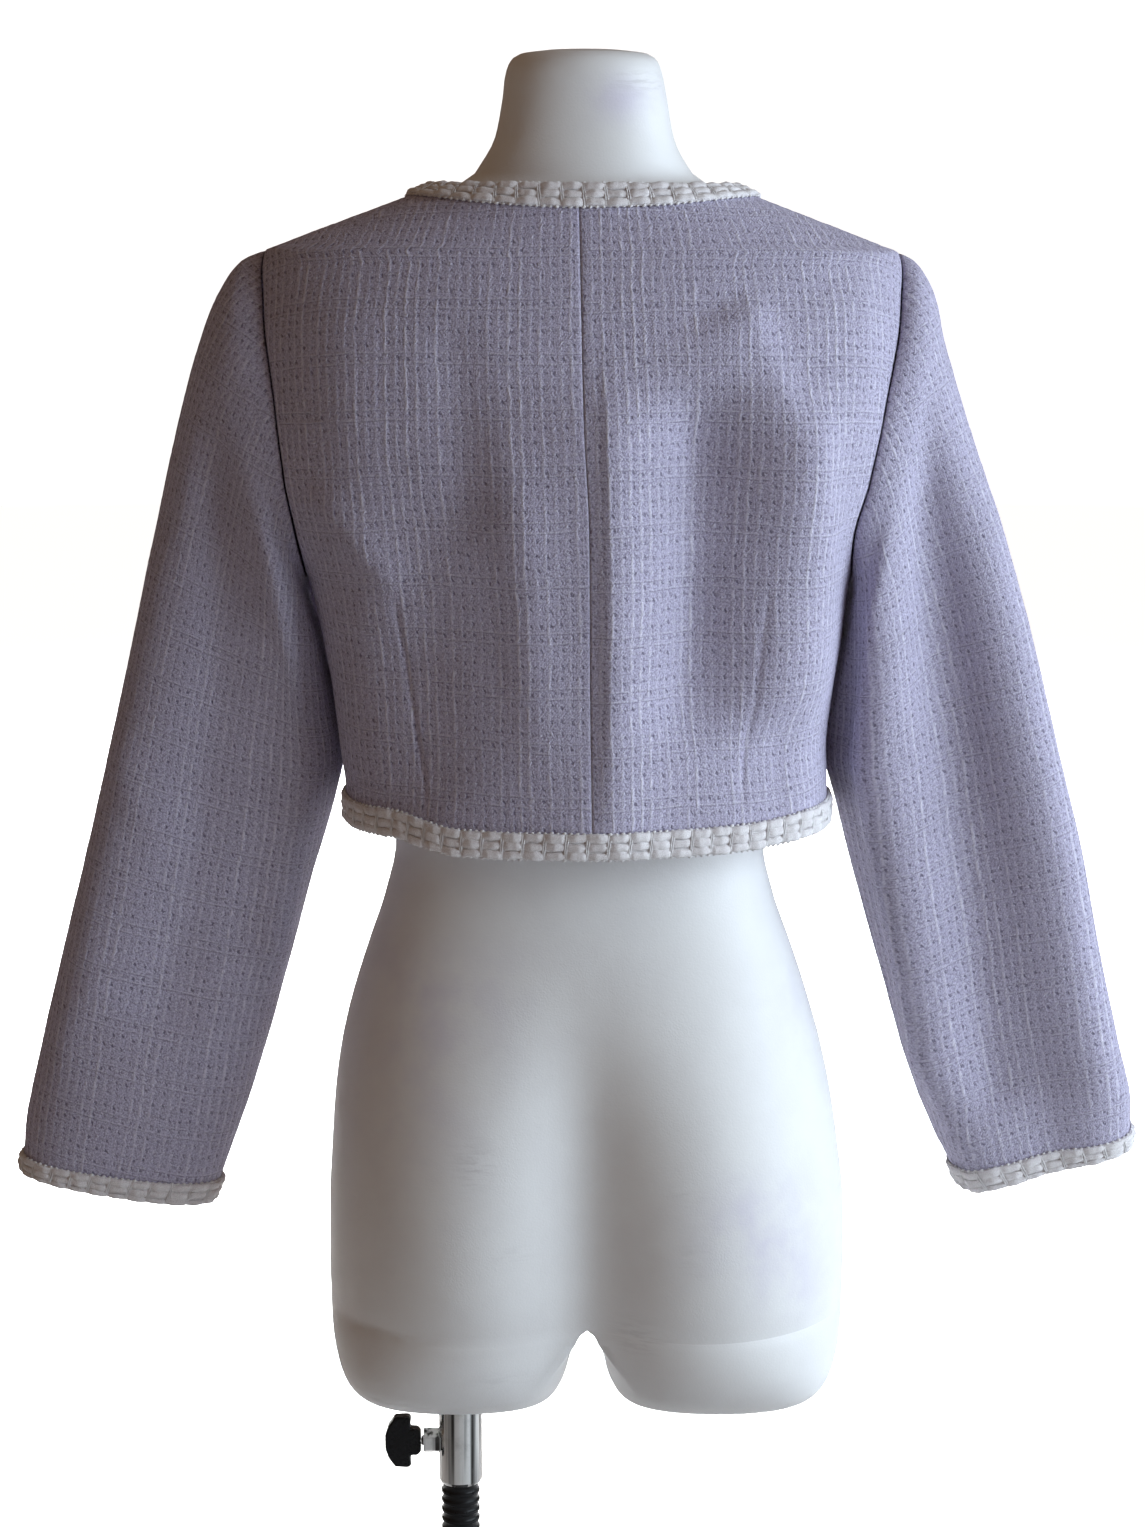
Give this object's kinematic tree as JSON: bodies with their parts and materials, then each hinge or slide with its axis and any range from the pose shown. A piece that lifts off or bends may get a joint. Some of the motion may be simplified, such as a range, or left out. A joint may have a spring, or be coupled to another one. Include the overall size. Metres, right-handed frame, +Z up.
{
  "type": "cropped tweed jacket on a dress form",
  "caption": "Cropped long-sleeved tweed jacket with braided edges, on a limbless torso form that stands on a height-adjustable pole with a round base.",
  "frame": {"origin": "on the underside of the base plate, below the middle plane of the form", "axes": "+Z up, the front of the jacket faces -Y, its own left side is +X"},
  "size_m": [0.6844, 0.35, 1.2246],
  "materials": {
    "back_left": "slubby lilac tweed",
    "back_right": "slubby lilac tweed",
    "front_left": "slubby lilac tweed",
    "front_right": "slubby lilac tweed",
    "sleeve_left": "slubby lilac tweed",
    "sleeve_right": "slubby lilac tweed",
    "trim_neck": "pale braid",
    "trim_hem": "pale braid",
    "trim_front_left": "pale braid",
    "trim_front_right": "pale braid",
    "trim_cuff_left": "pale braid",
    "trim_cuff_right": "pale braid",
    "dress_form": "matt white",
    "collar": "polished",
    "clamp_nut": "polished",
    "clamp_screw": "polished",
    "knob": "satin black",
    "pole": "ribbed black sleeve",
    "base": "satin black"
  },
  "bodies": {
    "stand": {"base": "base", "pole": "pole"},
    "collar": {"collar": "collar", "clamp_nut": "clamp_nut"},
    "knob": {"clamp_screw": "clamp_screw", "knob": "knob"},
    "form": {"dress_form": "dress_form", "back_left": "back_left", "back_right": "back_right", "front_left": "front_left", "front_right": "front_right", "sleeve_left": "sleeve_left", "sleeve_right": "sleeve_right", "trim_neck": "trim_neck", "trim_hem": "trim_hem", "trim_front_left": "trim_front_left", "trim_front_right": "trim_front_right", "trim_cuff_left": "trim_cuff_left", "trim_cuff_right": "trim_cuff_right"}
  },
  "joints": [
    {"name": "height_slide", "type": "slide", "parent": "stand", "child": "collar", "axis": [0, 0, 1], "range_m": [-0.07, 0.07]},
    {"name": "form_swivel", "type": "hinge", "parent": "collar", "child": "form", "pos_m": [0.0774, 0, 0.48], "axis": [0, 0, 1], "continuous": true},
    {"name": "knob_turn", "type": "hinge", "parent": "collar", "child": "knob", "pos_m": [0.106, 0, 0.392], "axis": [1, 0, 0], "continuous": true}
  ]
}
